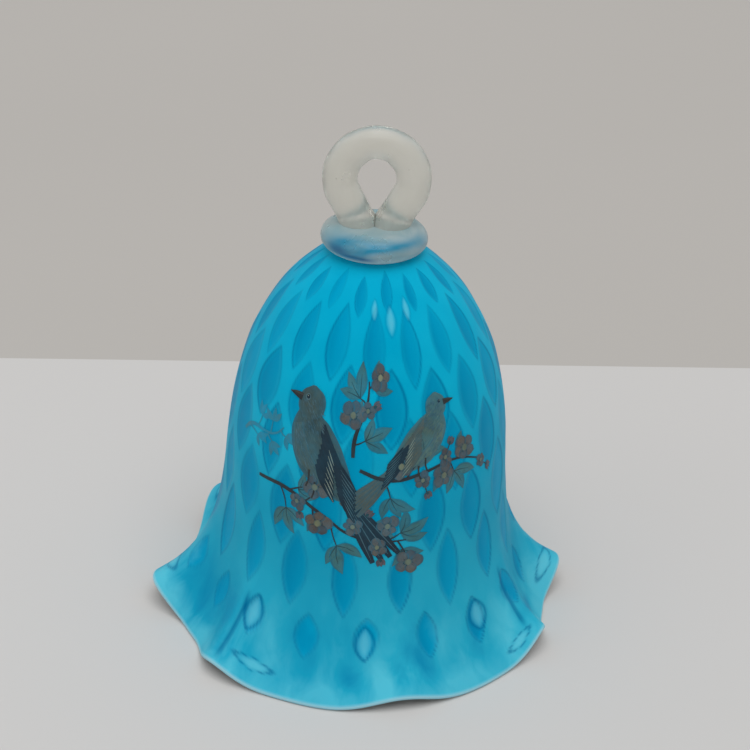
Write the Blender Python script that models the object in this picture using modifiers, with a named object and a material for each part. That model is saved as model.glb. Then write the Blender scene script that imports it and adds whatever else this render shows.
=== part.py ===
"""A hand-blown glass table bell: a ruffled satin glass body under a crystal collar and loop handle,
with a glass clapper bead on a chain hung inside it. Metres, +Z up, origin under the body's axis on
the plane that the rim stands on. Lengths below are in millimetres and go through MM."""

import math

import bmesh
import bpy
from mathutils import Vector

MM = 0.001
GAP = 0.3  # between pieces that touch on the real bell

# Body: the outer profile as (radius, height), from the crown down to the rim of a skirt not yet ruffled
CROWN_Z = 130.4
WALL = 3.0
RIM_WALL = 2.0
SHOULDER = [(12.8, 130.4), (15.6, 129.2), (18.4, 127.2), (22.2, 123.9), (27.1, 119.0), (31.7, 113.0)]
DOME = [(36.2, 105.0), (40.4, 95.0), (44.0, 80.0), (46.0, 65.0), (47.2, 50.0)]
SKIRT = [(48.9, 37.0), (51.2, 27.0), (54.6, 17.5), (59.6, 8.4), (66.0, 0.8)]
AROUND = 80  # facets round the body
DOWN = 20  # rows of facets down it

# Ruffle, one crimp a line: azimuth from the front (degrees, + towards +X), how far the rim lifts there,
# how far it spreads there, and how far it spreads midway to the next crimp
CRIMPS = [
    (-79, 8.8, 5.7, -1.6),
    (-42, 5.2, 4.5, 1.3),
    (14, 3.8, 0.2, 0.0),
    (65, 7.2, 2.6, -1.2),
    (98, 9.6, 4.9, 0.0),
    (141, 6.6, 3.0, 0.2),
    (186, 5.8, 1.0, 0.4),
    (231, 10.5, 3.6, -2.5),
]
RUFFLE_TOP_Z = 46.0
LIFT_GROWTH, SPREAD_GROWTH = 1.9, 1.6  # powers of the depth below the ruffle's top
CREST_SHARPNESS = 1.7

# Collar and handle
HANDLE_X = -0.9  # collar and handle were put on a little to the left of the body's axis
COLLAR_R, COLLAR_HALF = 16.8, 4.1
COLLAR_Z = CROWN_Z + GAP + COLLAR_HALF
COLLAR_FLAT_R = 11.8
ROD_R = 5.4
LOOP_R = 11.35  # centreline of the round part
LOOP_Z = 153.25
LEG_LEAN = 29.0  # degrees from upright, each leg
FOOT_Z = COLLAR_Z + COLLAR_HALF + GAP

# Hanger and chain
PLUG_R, PLUG_DROP = 9.0, 5.0
SOCKET_R, SOCKET_DEPTH = 0.95, 4.0
WIRE_R = 0.6
EYE_R = 2.4
EYE_Z = 117.6
LINK_HALF_W = 2.2
LINK_LENGTH = 10.95  # centreline, end to end
LINKS = 7
HOOK_GAP = 0.15  # between the wires of two hooked links

# Clapper
PIN_R = 0.5
PIN_LOOP_R = 1.8
BEAD_R = 7.5
BEAD_HOLE_R = PIN_R + GAP

HOOKED = 2 * WIRE_R + HOOK_GAP
PITCH = LINK_LENGTH - HOOKED
EYE_LOW_Z = EYE_Z - EYE_R
PIN_PIVOT_Z = EYE_LOW_Z - LINKS * PITCH
PIN_LOOP_Z = PIN_PIVOT_Z + WIRE_R + PIN_R + HOOK_GAP - PIN_LOOP_R
BEAD_Z = PIN_LOOP_Z - PIN_LOOP_R - 1.0 - BEAD_R


# ---------------------------------------------------------------- scene and helpers


def clear_scene():
    for obj in list(bpy.data.objects):
        bpy.data.objects.remove(obj)


def collection(name):
    made = bpy.data.collections.new(name)
    bpy.context.scene.collection.children.link(made)
    return made


def material(name, colour, roughness, metallic=0.0, transmission=0.0):
    made = bpy.data.materials.new(name)
    made.use_nodes = True
    shader = made.node_tree.nodes["Principled BSDF"]
    shader.inputs["Base Color"].default_value = (*colour, 1.0)
    shader.inputs["Roughness"].default_value = roughness
    shader.inputs["Metallic"].default_value = metallic
    shader.inputs["Transmission Weight"].default_value = transmission
    return made


def place(name, data, group, finish):
    """A new object of this mesh or curve, in its collection and with its material."""
    obj = bpy.data.objects.new(name, data)
    group.objects.link(obj)
    data.materials.append(finish)
    return obj


def evaluated_mesh(obj):
    """The object's mesh with its modifiers applied."""
    graph = bpy.context.evaluated_depsgraph_get()
    return bpy.data.meshes.new_from_object(obj.evaluated_get(graph))


def shade(mesh, angle=40):
    mesh.shade_smooth()
    mesh.set_sharp_from_angle(angle=math.radians(angle))


def turned(name, profile, steps, group, finish):
    """A solid of revolution from (radius, height) points that run down its outer side."""
    mesh = bpy.data.meshes.new(name)
    points = [(radius * MM, 0, height * MM) for radius, height in profile]
    mesh.from_pydata(points, [(i, i + 1) for i in range(len(points) - 1)], [])
    obj = place(name, mesh, group, finish)
    screw = obj.modifiers.new("Turn", "SCREW")
    screw.steps = screw.render_steps = steps
    screw.use_merge_vertices = True
    screw.merge_threshold = 0.00001
    screw.use_smooth_shade = True
    return obj


def wire(name, points, radius, group, finish, cyclic=False, swell=None, sides=8):
    """A round wire along (x, y, z) points. swell gives each point's share of the radius."""
    curve = bpy.data.curves.new(name, "CURVE")
    curve.dimensions = "3D"
    curve.bevel_depth = radius * MM
    curve.bevel_resolution = (sides - 4) // 2
    curve.use_fill_caps = True
    spline = curve.splines.new("POLY")
    spline.points.add(len(points) - 1)
    spline.use_cyclic_u = cyclic
    spline.use_smooth = True
    for i, point in enumerate(points):
        spline.points[i].co = (*(Vector(point) * MM), 1.0)
        spline.points[i].radius = swell[i] if swell else 1.0
    return place(name, curve, group, finish)


def arc(centre, radius, start, end, count):
    """Points of an arc in the XZ plane, its angles in degrees from +X towards +Z."""
    angles = [math.radians(start + (end - start) * i / (count - 1)) for i in range(count)]
    return [(centre[0] + radius * math.cos(a), 0, centre[1] + radius * math.sin(a)) for a in angles]


def smooth_through(points, count):
    """Points along one smooth curve through (radius, height) points, by Catmull-Rom."""
    ends = [2 * Vector(points[0]) - Vector(points[1]), 2 * Vector(points[-1]) - Vector(points[-2])]
    knots = [ends[0], *map(Vector, points), ends[1]]
    found = []
    for i in range(count + 1):
        place_on = i / count * (len(points) - 1)
        k = min(int(place_on), len(points) - 2)
        t = place_on - k
        a, b, c, d = knots[k : k + 4]
        found.append(
            0.5 * (2 * b + (c - a) * t + (2 * a - 5 * b + 4 * c - d) * t**2 + (3 * b - a - 3 * c + d) * t**3)
        )
    return [(p.x, p.y) for p in found]


# ---------------------------------------------------------------- glass body


def crimp_at(azimuth):
    """Lift and spread of the rim at this azimuth: full at each crimp, least midway between two."""
    for i, (here, lift, spread, valley) in enumerate(CRIMPS):
        there, next_lift, next_spread, _ = CRIMPS[(i + 1) % len(CRIMPS)]
        share = ((azimuth - here) % 360) / ((there - here) % 360)
        if share <= 1:
            crest = abs(math.cos(math.pi * share)) ** (2 * CREST_SHARPNESS)
            near_lift, near_spread = (lift, spread) if share < 0.5 else (next_lift, next_spread)
            return near_lift * crest, valley + (near_spread - valley) * crest
    return 0.0, 0.0


def ruffle(mesh):
    """Lifts and spreads the skirt's rows round each crimp, more and more towards the rim."""
    rim_z = SKIRT[-1][1]
    for vertex in mesh.vertices:
        x, y, z = vertex.co / MM
        if z >= RUFFLE_TOP_Z:
            continue
        depth = (RUFFLE_TOP_Z - z) / (RUFFLE_TOP_Z - rim_z)
        lift, spread = crimp_at(math.degrees(math.atan2(x, -y)))
        out = 1 + spread * depth**SPREAD_GROWTH / math.hypot(x, y)
        vertex.co = Vector((x * out, y * out, z + lift * depth**LIFT_GROWTH)) * MM


def block(name, size, centre, group, finish):
    """A hidden box cutter."""
    mesh = bpy.data.meshes.new(name)
    shape = bmesh.new()
    bmesh.ops.create_cube(shape, size=1.0)
    bmesh.ops.scale(shape, verts=shape.verts, vec=Vector(size) * MM)
    bmesh.ops.translate(shape, verts=shape.verts, vec=Vector(centre) * MM)
    shape.to_mesh(mesh)
    shape.free()
    obj = place(name, mesh, group, finish)
    obj.hide_render = True
    obj.display_type = "WIRE"
    return obj


def build_body(group, cutters, finish):
    """The satin glass body: one turned sheet, ruffled, given its wall, and ground flat where it stands."""
    profile = [(0.0, CROWN_Z), (7.0, CROWN_Z), *smooth_through(SHOULDER + DOME + SKIRT, DOWN)]
    sheet = turned("bell_body_sheet", profile, AROUND, cutters, finish)
    mesh = evaluated_mesh(sheet)
    bpy.data.objects.remove(sheet)
    mesh.name = "bell_body"
    ruffle(mesh)
    shade(mesh)
    body = place("bell_body", mesh, group, finish)
    thick = body.vertex_groups.new(name="thick")
    for vertex in mesh.vertices:
        thick.add([vertex.index], min(vertex.co.z / MM / RUFFLE_TOP_Z, 1.0), "REPLACE")
    wall = body.modifiers.new("Wall", "SOLIDIFY")
    wall.thickness = WALL * MM
    wall.offset = -1
    wall.use_even_offset = True
    wall.vertex_group = "thick"
    wall.thickness_vertex_group = RIM_WALL / WALL
    grind = body.modifiers.new("Grind", "BOOLEAN")
    grind.object = block("rim_grinder", (200, 200, 20), (0, 0, -10), cutters, finish)
    grind.operation = "DIFFERENCE"
    grind.solver = "EXACT"


# ---------------------------------------------------------------- crystal collar and handle


def build_collar(group, finish):
    """The flattened crystal wafer between the body and the handle, with a full round edge."""
    angles = [math.radians(90 - 18 * i) for i in range(11)]
    bulge = COLLAR_R - COLLAR_FLAT_R
    edge = [(COLLAR_FLAT_R + bulge * math.cos(a), COLLAR_Z + COLLAR_HALF * math.sin(a)) for a in angles]
    profile = [(0.0, COLLAR_Z + COLLAR_HALF), *edge, (0.0, COLLAR_Z - COLLAR_HALF)]
    collar = turned("neck_collar", profile, 48, group, finish)
    collar.location.x = HANDLE_X * MM


def build_handle(group, finish):
    """The crystal rod bent into a loop, its two legs fused where they meet on the collar."""
    over = arc((0, LOOP_Z), LOOP_R, 98, -LEG_LEAN, 17)
    lean = math.radians(LEG_LEAN)
    down_leg = Vector((-math.sin(lean), 0, -math.cos(lean)))
    length = (over[-1][2] - FOOT_Z) / math.cos(lean) + ROD_R
    leg = [Vector(over[-1]) + down_leg * length * i / 3 for i in range(1, 4)]
    rod = wire("rod", over + leg, ROD_R, group, finish, sides=16)
    mesh = evaluated_mesh(rod)
    bpy.data.objects.remove(rod)
    mesh.name = "loop_handle"
    shape = bmesh.new()
    shape.from_mesh(mesh)
    bmesh.ops.remove_doubles(shape, verts=shape.verts, dist=0.01 * MM)
    everything = [*shape.verts, *shape.edges, *shape.faces]
    foot = Vector((0, 0, FOOT_Z * MM))
    cut = bmesh.ops.bisect_plane(shape, geom=everything, plane_co=foot, plane_no=(0, 0, -1), clear_outer=True)
    rim = [edge for edge in cut["geom_cut"] if isinstance(edge, bmesh.types.BMEdge)]
    bmesh.ops.contextual_create(shape, geom=rim)
    everything = [*shape.verts, *shape.edges, *shape.faces]
    bmesh.ops.bisect_plane(shape, geom=everything, plane_co=(0, 0, 0), plane_no=(-1, 0, 0), clear_outer=True)
    everything = [*shape.verts, *shape.edges, *shape.faces]
    bmesh.ops.mirror(shape, geom=everything, axis="X", merge_dist=0.01 * MM)
    bmesh.ops.recalc_face_normals(shape, faces=shape.faces)
    shape.to_mesh(mesh)
    shape.free()
    shade(mesh)
    handle = place("loop_handle", mesh, group, finish)
    handle.location.x = HANDLE_X * MM


# ---------------------------------------------------------------- hanger, chain and clapper


def build_plug(group, finish):
    """The button of cement under the crown, with a blind socket for the eye's shank."""
    top = CROWN_Z - WALL - GAP
    low = top - PLUG_DROP
    angles = [math.radians(12 * i) for i in range(7)]
    dome = [(PLUG_R * math.cos(a), top - 1 - (PLUG_DROP - 1) * math.sin(a)) for a in angles]
    socket = [(SOCKET_R, low), (SOCKET_R, low + SOCKET_DEPTH), (0.0, low + SOCKET_DEPTH)]
    profile = [(0.0, top), (PLUG_R - 0.6, top), *dome, *socket]
    turned("cement_plug", profile, 32, group, finish)


def build_eye(group, finish):
    """The wire eye: a shank up into the plug and a ring in the XZ plane that the chain hooks into."""
    shank_top = CROWN_Z - WALL - GAP - PLUG_DROP + SOCKET_DEPTH - GAP
    shank_low = EYE_Z + EYE_R + 0.9
    shank = [(0, 0, shank_top), (0, 0, shank_low)]
    ring = arc((0, EYE_Z), EYE_R, 118, 408, 22)
    wire("hanger_eye", shank + ring, WIRE_R, group, finish)


def link_loop():
    """The centreline of one chain link in the XZ plane, the wire it hangs from at the origin."""
    high = HOOKED - LINK_HALF_W
    low = HOOKED - LINK_LENGTH + LINK_HALF_W
    return arc((0, high), LINK_HALF_W, 0, 180, 9) + arc((0, low), LINK_HALF_W, 180, 360, 9)


def build_chain(group, finish):
    """The chain: each link a quarter turn from the one above, its own object on its own pivot."""
    for i in range(LINKS):
        link = wire(f"chain_link_{i + 1}", link_loop(), WIRE_R, group, finish, cyclic=True)
        link.location.z = (EYE_LOW_Z - i * PITCH) * MM
        link.rotation_euler.z = math.pi / 2 if i % 2 == 0 else 0.0


def build_pin(group, finish):
    """The headed wire through the bead, with a loop on top that the last link holds."""
    loop = arc((0, PIN_LOOP_Z), PIN_LOOP_R, 228, -62, 20)
    neck_z = PIN_LOOP_Z - PIN_LOOP_R - 0.9
    head_z = BEAD_Z - BEAD_R - GAP
    stem = [(0, 0, neck_z), (0, 0, BEAD_Z), (0, 0, head_z), (0, 0, head_z - 0.2), (0, 0, head_z - 1.0)]
    head = [1.0, 1.0, 1.0, 2.8, 2.2]
    wire("clapper_pin", loop + stem, PIN_R, group, finish, swell=[1.0] * len(loop) + head, sides=10)


def build_bead(group, finish):
    """The glass bead that strikes the body, bored through for the pin."""
    hole = math.degrees(math.asin(BEAD_HOLE_R / BEAD_R))
    steps = 12
    angles = [math.radians(90 - hole - (180 - 2 * hole) * i / steps) for i in range(steps + 1)]
    ball = [(BEAD_R * math.cos(a), BEAD_Z + BEAD_R * math.sin(a)) for a in angles]
    turned("clapper_bead", [*ball, ball[0]], 24, group, finish)


def main():
    clear_scene()
    parts = collection("glass_bell")
    cutters = collection("cutters")
    blue_glass = material("blue_satin_glass", (0.01, 0.36, 0.56), 0.38)
    crystal = material("frosted_crystal", (0.82, 0.85, 0.82), 0.35, transmission=0.8)
    cement = material("white_cement", (0.78, 0.76, 0.70), 0.85)
    nickel = material("nickel_wire", (0.72, 0.71, 0.68), 0.22, metallic=1.0)
    clear_glass = material("clear_bead_glass", (0.95, 0.97, 0.97), 0.03, transmission=1.0)
    build_body(parts, cutters, blue_glass)
    build_collar(parts, crystal)
    build_handle(parts, crystal)
    build_plug(parts, cement)
    build_eye(parts, nickel)
    build_chain(parts, nickel)
    build_pin(parts, nickel)
    build_bead(parts, clear_glass)


main()
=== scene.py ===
"""The looks of the glass bell: satin blue glass with a diamond optic and a ruffled skirt, a frosted
crystal collar and loop handle, a plain painted pattern of songbirds and twigs, and the chain and
clapper inside. Lengths are in millimetres and go through MM. Azimuths are degrees from the front (-Y),
positive towards +X."""

import math
import random

import bmesh
import bpy
import numpy as np
from mathutils import Matrix, Vector


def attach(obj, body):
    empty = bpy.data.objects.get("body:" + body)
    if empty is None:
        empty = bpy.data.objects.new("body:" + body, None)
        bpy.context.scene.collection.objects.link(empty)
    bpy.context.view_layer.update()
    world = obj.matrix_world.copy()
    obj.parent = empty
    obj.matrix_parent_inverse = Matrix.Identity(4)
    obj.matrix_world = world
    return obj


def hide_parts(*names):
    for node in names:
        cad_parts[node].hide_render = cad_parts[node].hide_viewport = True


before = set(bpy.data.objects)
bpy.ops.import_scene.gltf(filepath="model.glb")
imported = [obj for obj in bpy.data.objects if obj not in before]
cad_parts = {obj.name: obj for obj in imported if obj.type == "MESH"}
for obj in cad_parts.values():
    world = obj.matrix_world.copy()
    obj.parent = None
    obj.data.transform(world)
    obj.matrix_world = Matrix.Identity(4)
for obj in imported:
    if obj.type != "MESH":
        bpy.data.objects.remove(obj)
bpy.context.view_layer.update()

MM = 0.001

# The body's outer profile as (radius, height), crown to rim, before the skirt is ruffled
CROWN_Z = 130.4
PROFILE = [
    (12.8, 130.4), (15.6, 129.2), (18.4, 127.2), (22.2, 123.9), (27.1, 119.0), (31.7, 113.0), (36.2, 105.0),
    (40.4, 95.0), (44.0, 80.0), (46.0, 65.0), (47.2, 50.0), (48.9, 37.0), (51.2, 27.0), (54.6, 17.5),
    (59.6, 8.4), (66.0, 0.8),
]
WALL, RIM_WALL = 3.0, 2.0
GAP = 0.3  # between pieces that touch on the real bell
AXIS = 0.01  # radius that stands for the axis where a lathe would have a pole

# Crimps of the rim: azimuth, lift, spread, spread midway to the next one, and how sharp the crest is
# (1.7 is a soft wave)
CRIMPS = [
    (-79, 8.8, 5.7, -1.6, 1.8),
    (-42, 5.2, 4.5, 1.3, 3.2),
    (14, 3.8, 0.2, 0.0, 2.0),
    (65, 7.2, 2.6, -1.2, 3.2),
    (98, 9.6, 4.9, 0.0, 1.8),
    (141, 6.6, 3.0, 0.2, 1.8),
    (186, 5.8, 1.0, 0.4, 2.0),
    (231, 10.5, 3.6, -2.5, 1.8),
]
RUFFLE_TOP_Z, RUFFLE_LOW_Z = 46.0, 0.8
LIFT_GROWTH, SPREAD_GROWTH = 1.9, 1.6  # powers of the depth below the ruffle's top

# Diamond optic: rows of pointed ovals as (height, azimuth of one, half height, half width in degrees, depth)
OPTIC = [
    (124.5, 10.0, 7.0, 5.0, 0.14),
    (112.0, 1.0, 12.5, 6.1, 0.22),
    (95.0, 9.5, 13.0, 7.2, 0.24),
    (78.5, -2.0, 13.0, 6.5, 0.24),
    (59.0, 7.0, 14.0, 6.7, 0.26),
    (39.0, -4.5, 13.5, 5.5, 0.30),
    (18.5, 4.0, 8.0, 4.5, 0.40),
]
COLUMNS = 18
COLUMN = 360 / COLUMNS  # degrees between ovals of a row

# Painted highlights on lenses of the skirt and shoulder, with painted dark outlines, as (azimuth, height,
# half height, half width in degrees)
LIT = [
    (2.8, 17.5, 5.4, 2.7), (-37, 19, 6.0, 2.8), (46, 19, 5.0, 3.2), (-31, 6.2, 1.7, 5.4), (57, 4.6, 1.6, 4.0),
    (94, 6.0, 2.6, 4.4), (-82, 8, 3.0, 4.0), (120, 14, 5.0, 2.8), (146, 6, 1.8, 4.4), (205, 13, 5.0, 2.8),
    (232, 6, 2.0, 5.0), (1, 121, 3.6, 2.2), (11.5, 118.5, 5.0, 3.0), (23, 121, 4.0, 2.4),
]

# Pale and deep patches of the skirt, partly the glass's own clouding and partly painted light on the crests
# and painted shade in the valleys, as (azimuth, height, half height, half width in degrees, pale 1 to deep
# -1)
CLOUDS_AND_SHADE = [
    (-29, 15, 11, 6, 0.8), (7.5, 7, 9, 3.2, 1.0), (30, 19, 8, 6, 0.7), (54, 14, 13, 4, 0.9),
    (35, 5, 5, 9, 0.7), (88, 8, 7, 8, 0.8), (-10, 4, 4, 9, 0.6), (-75, 4, 5, 8, 0.7),
    (-55, 4, 3, 8, 0.5), (100, 24, 8, 7, 0.6), (-16, 18, 8, 4.6, -0.9), (21, 14, 9, 4.2, -0.9),
    (44, 12, 8, 4, -0.8), (0, 8, 7, 3.4, -0.7), (-48, 19, 8, 7, -0.8), (74, 21, 9, 9, -0.9),
    (72, 8, 3, 9, -0.9), (-66, 16, 13, 7, -0.7), (-33, 30, 7, 5, -0.5), (122, 18, 10, 8, -0.8),
    (138, 9, 9, 6, 0.8), (158, 17, 9, 7, -0.8), (176, 8, 9, 7, 0.8), (196, 17, 9, 6, -0.7),
    (214, 8, 8, 7, 0.8), (232, 18, 10, 7, -0.8), (252, 9, 8, 8, 0.7), (-84, 20, 9, 8, 0.5),
]

# Creases of the skirt where a crimp is pinched tight, drawn as dark lines of painted shade, as (azimuth, top
# height, low height)
CREASES = [(-41, 25, 2), (61, 29, 5), (226, 24, 4)]


# ---------------------------------------------------------------- the body as a surface


def catmull(points, count):
    """count points along a smooth curve through the given ones."""
    points = np.array(points, float)
    knots = np.vstack([2 * points[0] - points[1], points, 2 * points[-1] - points[-2]])
    u = np.linspace(0, len(points) - 1, count)
    k = np.minimum(u.astype(int), len(points) - 2)
    t = (u - k)[:, None]
    a, b, c, d = knots[k], knots[k + 1], knots[k + 2], knots[k + 3]
    return 0.5 * (2 * b + (c - a) * t + (2 * a - 5 * b + 4 * c - d) * t**2 + (3 * b - a - 3 * c + d) * t**3)


FINE = catmull(PROFILE, 1500)
ARC = np.concatenate([[0.0], np.cumsum(np.linalg.norm(np.diff(FINE, axis=0), axis=1))])
SKIRT_ARC = ARC[-1]


def arc_at_height(z):
    """Arc length from the crown's edge down to this height of the plain profile."""
    return np.interp(-np.asarray(z, float), -FINE[:, 1], ARC)


def crimp_at(azimuth):
    """Lift and spread of the rim at each azimuth: full at each crimp and least midway between two."""
    lift, spread = np.zeros_like(azimuth), np.zeros_like(azimuth)
    for i, (here, up, out, valley, sharp) in enumerate(CRIMPS):
        there, next_up, next_out, _, next_sharp = CRIMPS[(i + 1) % len(CRIMPS)]
        span = (there - here) % 360
        along = (azimuth - here) % 360
        share = along / span
        near = share < 0.5
        crest = np.abs(np.cos(np.pi * share)) ** (2 * np.where(near, sharp, next_sharp))
        soft = np.abs(np.cos(np.pi * share)) ** 3.4
        inside = along <= span
        lift = np.where(inside, np.where(near, up, next_up) * crest, lift)
        spread = np.where(inside, valley + (np.where(near, out, next_out) - valley) * soft, spread)
    return lift, spread


def smooth_body(azimuth, arc):
    """Points on the body's outside with no optic."""
    radius = np.interp(arc, ARC, FINE[:, 0])
    z = np.interp(arc, ARC, FINE[:, 1])
    depth = np.clip((RUFFLE_TOP_Z - z) / (RUFFLE_TOP_Z - RUFFLE_LOW_Z), 0, None)
    lift, spread = crimp_at(azimuth)
    a = np.radians(azimuth)
    wobble = 0.25 * np.sin(2 * a + 0.7) + 0.15 * np.sin(3 * a + z / 31)
    radius = radius + spread * depth**SPREAD_GROWTH + wobble * np.clip(arc / 30, 0, 1)
    z = z + lift * depth**LIFT_GROWTH
    return np.stack([radius * np.sin(a), -radius * np.cos(a), z], -1)


def body_normal(azimuth, arc):
    """Outward unit normals of the smooth body."""
    across = smooth_body(azimuth + 0.4, arc) - smooth_body(azimuth - 0.4, arc)
    down = smooth_body(azimuth, arc + 0.4) - smooth_body(azimuth, arc - 0.4)
    normal = np.cross(down, across)
    return normal / np.linalg.norm(normal, axis=-1, keepdims=True)


def cell_chance(row, column, salt):
    """A repeatable number in 0..1 for each oval."""
    value = np.sin((row + 1) * 12.9898 + column * 78.233 + salt * 37.719) * 43758.5453
    return value - np.floor(value)


def optic(azimuth, arc):
    """The diamond optic at each point: how far inside an oval, its outline, partly painted shade and darker
    on one side, its depth in mm, its tint, and how far to one side, which sets painted shade on one side of
    the oval and painted light on the other."""
    inside = np.zeros_like(azimuth)
    outline = np.zeros_like(azimuth)
    depth = np.zeros_like(azimuth)
    tint = np.full_like(azimuth, 0.5)
    side = np.zeros_like(azimuth)
    for row, (z, start, half_height, half_width, deep) in enumerate(OPTIC):
        column = np.round((azimuth - start) / COLUMN) % COLUMNS
        shift = 1.8 * (cell_chance(row, column, 1) - 0.5)
        du = (azimuth - start - shift + COLUMN / 2) % COLUMN - COLUMN / 2
        dv = arc - arc_at_height(z) - 2.4 * (cell_chance(row, column, 2) - 0.5)
        tall = half_height * (0.92 + 0.16 * cell_chance(row, column, 3))
        wide = half_width * (0.88 + 0.20 * cell_chance(row, column, 4))
        du = du + 0.9 * (cell_chance(row, column, 7) - 0.5) * dv / tall
        taper = np.clip(1 - (dv / tall) ** 2, -1, 1)
        reach = np.where(np.abs(dv) < 1.3 * tall, taper - np.abs(du) / wide, -1)
        inner = np.clip(reach / 0.46, 0, 1)
        inner = inner * inner * (3 - 2 * inner)
        strength = 0.70 + 0.6 * cell_chance(row, column, 5)
        # painted shade: the outline is drawn darker on one side of each oval
        lean = 0.75 + 0.25 * np.clip(np.sign(azimuth - 8) * du / wide * 2.5, -1, 1)
        line = np.exp(-(((reach - 0.11) / 0.09) ** 2)) * lean * strength
        inside = np.maximum(inside, inner)
        outline = np.maximum(outline, line)
        depth = np.maximum(depth, deep * strength * inner)
        tint = np.where(inner > 0, cell_chance(row, column, 6), tint)
        # side sets painted shade on one side of each oval and painted light on the other
        side = np.where(inner > 0, -du / wide * inner, side)
    return inside, outline, depth, tint, side


def off_to(azimuth, centre):
    """Degrees from an azimuth to each point, in -180..180."""
    return (azimuth - centre + 180) % 360 - 180


def lit(azimuth, arc):
    """Painted highlights of the skirt's lenses at each point, and the painted shade of their dark outlines.
    """
    lens_highlight, ring = np.zeros_like(azimuth), np.zeros_like(azimuth)
    for centre, z, tall, wide in LIT:
        dv = (arc - arc_at_height(z)) / tall
        reach = 1 - dv**2 - np.abs(off_to(azimuth, centre)) / wide
        lens_highlight = np.maximum(lens_highlight, np.clip(reach / 0.7, 0, 1))
        rim = np.exp(-(((reach + 0.12) / 0.22) ** 2)) * (np.abs(dv) < 1.3)
        ring = np.maximum(ring, rim * (1.0 if z < RUFFLE_TOP_Z else 0.35))
    return lens_highlight, ring


def cloudiness_and_shade(azimuth, arc):
    """Pale (1) to deep (-1) patches of the skirt, partly its own clouding and partly painted light and shade,
    and the painted shade of its creases.
    """
    tone, crease_shade = np.zeros_like(azimuth), np.zeros_like(azimuth)
    for centre, z, tall, wide, level in CLOUDS_AND_SHADE:
        bend = off_to(azimuth, centre) + 1.6 * np.sin(arc / 5 + centre)
        tone = tone + level * np.exp(-(((arc - arc_at_height(z)) / tall) ** 2) - (bend / wide) ** 2)
    for centre, top, low in CREASES:
        start, end = arc_at_height(top), arc_at_height(low)
        along = np.clip((arc - start) / 4, 0, 1) * np.clip((end - arc) / 4, 0, 1)
        crease_shade = np.maximum(crease_shade, along * np.exp(-((off_to(azimuth, centre) / 0.8) ** 2)))
    tone = tone + 0.55 * np.exp(-(((SKIRT_ARC - arc) / 5) ** 2))
    return np.clip(tone, -1, 1), crease_shade


def body_point(azimuth, arc, lift=0.0):
    """Points on the outside with its optic, lifted along the normal."""
    normal = body_normal(azimuth, arc)
    return smooth_body(azimuth, arc) + normal * (lift - optic(azimuth, arc)[2])[..., None]


# ---------------------------------------------------------------- meshes


def new_object(name, verts, faces, attributes=None):
    """A mesh object from points in millimetres, with float attributes on its points."""
    mesh = bpy.data.meshes.new(name)
    mesh.from_pydata((np.asarray(verts, float) * MM).tolist(), [], faces)
    for key, values in (attributes or {}).items():
        made = mesh.attributes.new(key, "FLOAT", "POINT")
        made.data.foreach_set("value", np.asarray(values, np.float32).ravel())
    mesh.shade_smooth()
    obj = bpy.data.objects.new(name, mesh)
    bpy.context.scene.collection.objects.link(obj)
    return obj


def grid_faces(rows, columns, wrap, first=0):
    """Quads of a grid of points, row by row. wrap joins the last column to the first."""
    r, c = np.meshgrid(np.arange(rows - 1), np.arange(columns if wrap else columns - 1), indexing="ij")
    a = first + r * columns + c
    b = first + r * columns + (c + 1) % columns
    return np.stack([a, a + columns, b + columns, b], -1).reshape(-1, 4).tolist()


def tube(path, radii, sides, closed=False):
    """Points and faces of a round tube along a path in space, its ends capped unless it is closed."""
    path = np.array(path, float)
    count = len(path)
    radii = np.broadcast_to(np.asarray(radii, float), (count,))
    if closed:
        tangents = np.roll(path, -1, 0) - np.roll(path, 1, 0)
    else:
        tangents = np.gradient(path, axis=0)
    tangents /= np.linalg.norm(tangents, axis=1, keepdims=True)
    side = Vector((0, 1, 0))
    if abs(tangents[0] @ np.array(side)) > 0.9:
        side = Vector((1, 0, 0))
    verts = []
    for point, tangent, radius in zip(path, tangents, radii):
        t = Vector(tangent)
        side = (side - t * side.dot(t)).normalized()
        other = t.cross(side)
        for k in range(sides):
            a = 2 * math.pi * k / sides
            ring = side * math.cos(a) + other * math.sin(a)
            verts.append(np.array(point) + np.array(ring) * radius)
    faces = []
    for i in range(count if closed else count - 1):
        j = (i + 1) % count
        for k in range(sides):
            n = (k + 1) % sides
            faces.append([i * sides + k, i * sides + n, j * sides + n, j * sides + k])
    if not closed:
        faces.append(list(range(sides))[::-1])
        faces.append([(count - 1) * sides + k for k in range(sides)])
    return verts, faces


def arc_points(radius, start, sweep, count):
    """count points (x, y) of a circle round the origin, from an angle in degrees through a sweep."""
    angles = [math.radians(start + sweep * i / (count - 1)) for i in range(count)]
    return [(radius * math.cos(a), radius * math.sin(a)) for a in angles]


def lathe(profile, sides):
    """Points and faces of a solid of revolution from (radius, height) points, poles at radius 0."""
    a = np.linspace(0, 2 * math.pi, sides, endpoint=False)
    verts = [(r * math.sin(t), -r * math.cos(t), z) for r, z in profile for t in a]
    return verts, grid_faces(len(profile), sides, True)


def weld(obj, distance=0.002):
    """Joins points that coincide and turns every face outwards."""
    shape = bmesh.new()
    shape.from_mesh(obj.data)
    bmesh.ops.remove_doubles(shape, verts=shape.verts, dist=distance * MM)
    bmesh.ops.recalc_face_normals(shape, faces=shape.faces)
    shape.to_mesh(obj.data)
    shape.free()
    return obj


# ---------------------------------------------------------------- materials


def linear(colour):
    """A linear RGBA colour from sRGB values in 0..255."""
    share = [c / 255 for c in colour]
    return tuple(c / 12.92 if c <= 0.04045 else ((c + 0.055) / 1.055) ** 2.4 for c in share) + (1.0,)


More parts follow.
